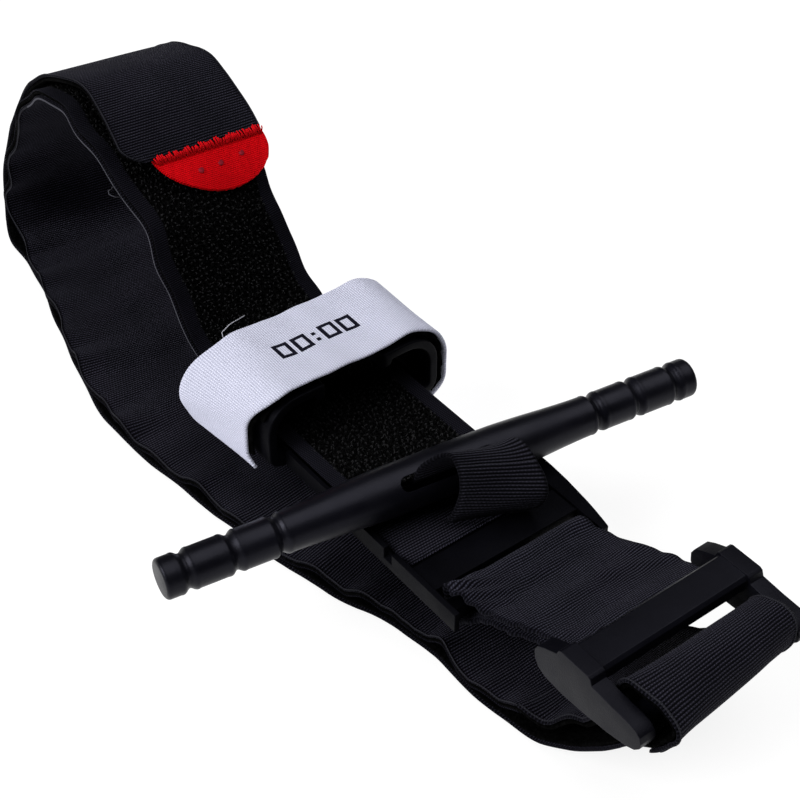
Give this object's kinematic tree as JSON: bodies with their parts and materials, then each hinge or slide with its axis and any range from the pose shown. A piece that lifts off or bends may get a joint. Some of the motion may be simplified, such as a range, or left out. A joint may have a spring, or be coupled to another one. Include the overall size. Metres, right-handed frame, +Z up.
{
  "type": "windlass tourniquet",
  "caption": "Band tourniquet closed in a loop: hook-and-loop webbing, windlass rod and clip on a stabilizer plate, write-on strap over the clip, slide buckle and red-tipped free end.",
  "frame": {"origin": "on the table that the loop lies on, straight under the middle of the windlass rod", "axes": "+X along the band towards the buckle, +Y across the band (the windlass rod is turned 8.4 degrees from it), +Z up from the table"},
  "size_m": [0.2631, 0.1342, 0.0725],
  "materials": {
    "buckle_frame": "moulded black nylon, satin",
    "buckle_wrap_pile": "black hook-and-loop pile",
    "buckle_wrap_skin": "black ribbed nylon webbing",
    "clip_hook_pad_far": "black hook-and-loop pile",
    "clip_hook_pad_near": "black hook-and-loop pile",
    "edge_seam_far": "black sewing thread",
    "edge_seam_near": "black sewing thread",
    "free_end_pile": "black hook-and-loop pile",
    "free_end_skin": "black ribbed nylon webbing",
    "running_end_pile": "black hook-and-loop pile",
    "running_end_skin": "black ribbed nylon webbing",
    "stabilizer_plate": "moulded black nylon, satin",
    "standing_band_pile": "black hook-and-loop pile",
    "standing_band_skin": "black ribbed nylon webbing",
    "tension_strap_core": "black ribbed nylon webbing",
    "tension_strap_loop": "black ribbed nylon webbing",
    "tether_webbing": "black ribbed nylon webbing",
    "time_strap": "white ribbed webbing",
    "time_strap_anchor": "white ribbed webbing",
    "time_strap_lining": "black hook-and-loop pile",
    "tip_tab": "red woven webbing",
    "windlass_clip": "moulded black nylon, satin",
    "windlass_rod": "moulded black nylon, satin"
  },
  "bodies": {
    "band": {"stabilizer_plate": "stabilizer_plate", "windlass_clip": "windlass_clip", "clip_hook_pad_near": "clip_hook_pad_near", "clip_hook_pad_far": "clip_hook_pad_far", "standing_band_skin": "standing_band_skin", "standing_band_pile": "standing_band_pile", "tension_strap_core": "tension_strap_core", "edge_seam_near": "edge_seam_near", "edge_seam_far": "edge_seam_far", "running_end_skin": "running_end_skin", "running_end_pile": "running_end_pile", "time_strap_anchor": "time_strap_anchor", "tether_webbing": "tether_webbing"},
    "tension_strap": {"tension_strap_loop": "tension_strap_loop"},
    "windlass": {"windlass_rod": "windlass_rod"},
    "time_strap": {"time_strap": "time_strap", "time_strap_lining": "time_strap_lining"},
    "buckle": {"buckle_frame": "buckle_frame", "buckle_wrap_skin": "buckle_wrap_skin", "buckle_wrap_pile": "buckle_wrap_pile"},
    "free_end": {"free_end_skin": "free_end_skin", "free_end_pile": "free_end_pile", "tip_tab": "tip_tab"}
  },
  "joints": [
    {"name": "windlass_lift", "type": "slide", "parent": "band", "child": "tension_strap", "axis": [0, 0, 1], "range_m": [0, 0.022], "deforming": ["tension_strap_loop"]},
    {"name": "windlass_twist", "type": "hinge", "parent": "tension_strap", "child": "windlass", "pos_m": [0, 0, 0.0287], "axis": [0, 0, 1], "range_deg": [-30, 30]},
    {"name": "time_strap_peel", "type": "hinge", "parent": "band", "child": "time_strap", "pos_m": [-0.0459, 0.0275, 0.0176], "axis": [-1, 0, 0], "range_deg": [0, 100]},
    {"name": "buckle_swing", "type": "hinge", "parent": "band", "child": "buckle", "pos_m": [0.057, 0.0072, 0.0256], "axis": [0, -1, 0], "range_deg": [0, 22]},
    {"name": "free_end_peel", "type": "hinge", "parent": "band", "child": "free_end", "pos_m": [-0.126, 0.003, 0.0706], "axis": [0.0173, -0.9924, 0.1219], "range_deg": [0, 60]}
  ]
}
